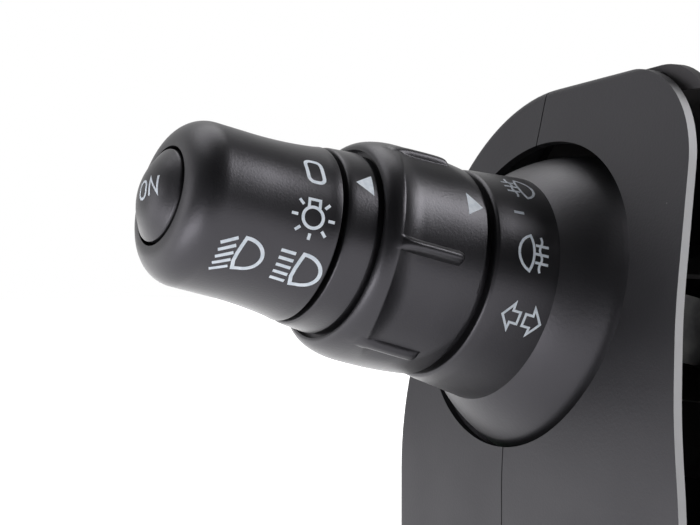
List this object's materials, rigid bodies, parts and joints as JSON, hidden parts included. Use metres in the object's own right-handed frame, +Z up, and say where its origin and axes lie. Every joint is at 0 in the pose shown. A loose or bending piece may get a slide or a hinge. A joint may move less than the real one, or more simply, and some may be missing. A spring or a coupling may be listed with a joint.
{
  "type": "steering_column_stalk_switch",
  "caption": "Car steering-column stalk switch: lever with push button, turning end knob and fog ring, on a gimbal in a split black housing that clamps to the column",
  "frame": {"origin": "Column axis, level with the lever's axis", "axes": "+Y along the column, away from the driver; -X to the lever's side; +Z up"},
  "size_m": [0.1693, 0.0913, 0.1043],
  "materials": {
    "lever_black": "satin, finely grained",
    "cover_black": "fine mould grain",
    "body_black": "glass-filled nylon, slightly coarse",
    "natural_nylon": "natural acetal, matt",
    "zinc_steel": "zinc plated",
    "spring_steel": "drawn wire",
    "board_green": "solder resist",
    "contact_brass": "tinned brass"
  },
  "bodies": {
    "housing": {"front_shell": "cover_black", "rear_shell": "cover_black", "switch_body": "body_black", "gimbal_bracket": "zinc_steel", "bracket_screws": "zinc_steel", "detent_block": "body_black", "circuit_board": "board_green", "board_screws": "zinc_steel", "plug_socket": "body_black", "terminals": "contact_brass", "shell_screws": "zinc_steel", "clamp_band": "zinc_steel", "clamp_screw": "zinc_steel", "clamp_nut": "zinc_steel"},
    "yoke": {"gimbal_ring": "body_black", "turn_pins": "zinc_steel", "flash_pin": "zinc_steel", "cancel_finger": "body_black"},
    "lever": {"stalk_core": "lever_black", "index_collar": "lever_black", "base_collar": "lever_black", "dome_shield": "lever_black", "lever_hub": "body_black", "hub_pin": "zinc_steel", "stalk_board": "board_green", "push_switch": "natural_nylon", "detent_ball": "zinc_steel", "detent_spring": "spring_steel", "plunger_spring": "spring_steel", "flash_spring": "spring_steel"},
    "knob": {"end_knob": "lever_black", "knob_drum": "natural_nylon", "knob_wiper": "contact_brass"},
    "button": {"auto_button": "lever_black", "button_stem": "natural_nylon", "button_spring": "spring_steel"},
    "ring": {"fog_ring": "lever_black"},
    "plunger": {"turn_plunger": "natural_nylon"},
    "canceller": {"cancel_ring": "body_black"}
  },
  "joints": [
    {"name": "turn_signal", "type": "hinge", "parent": "housing", "child": "yoke", "pos_m": [-0.04813, 0, 0.01156], "axis": [0, 1, 0], "range_deg": [-8, 8]},
    {"name": "flash_pull", "type": "hinge", "parent": "yoke", "child": "lever", "pos_m": [-0.04813, 0, 0.01156], "axis": [0.2334, 0, 0.9724], "range_deg": [0, 6], "stiffness_Nm_per_rad": 1, "springref_deg": -6.88},
    {"name": "knob_turn", "type": "hinge", "parent": "lever", "child": "knob", "pos_m": [-0.10502, 0, 0.02521], "axis": [-0.9724, 0, 0.2334], "range_deg": [0, 66]},
    {"name": "fog_turn", "type": "hinge", "parent": "lever", "child": "ring", "pos_m": [-0.08955, 0, 0.0215], "axis": [-0.9724, 0, 0.2334], "range_deg": [-21, 21]},
    {"name": "button_press", "type": "slide", "parent": "lever", "child": "button", "axis": [0.9724, 0, -0.2334], "range_m": [0, 0.0014], "stiffness_N_per_m": 800, "springref_m": -0.001, "deforming": ["button_spring"]},
    {"name": "plunger_slide", "type": "slide", "parent": "lever", "child": "plunger", "axis": [-0.9724, 0, 0.2334], "range_m": [0, 0.0008], "stiffness_N_per_m": 600, "springref_m": -0.002, "deforming": ["plunger_spring"]},
    {"name": "cancel_turn", "type": "hinge", "parent": "housing", "child": "canceller", "pos_m": [0, -0.0278, 0], "axis": [0, 1, 0], "continuous": true}
  ]
}
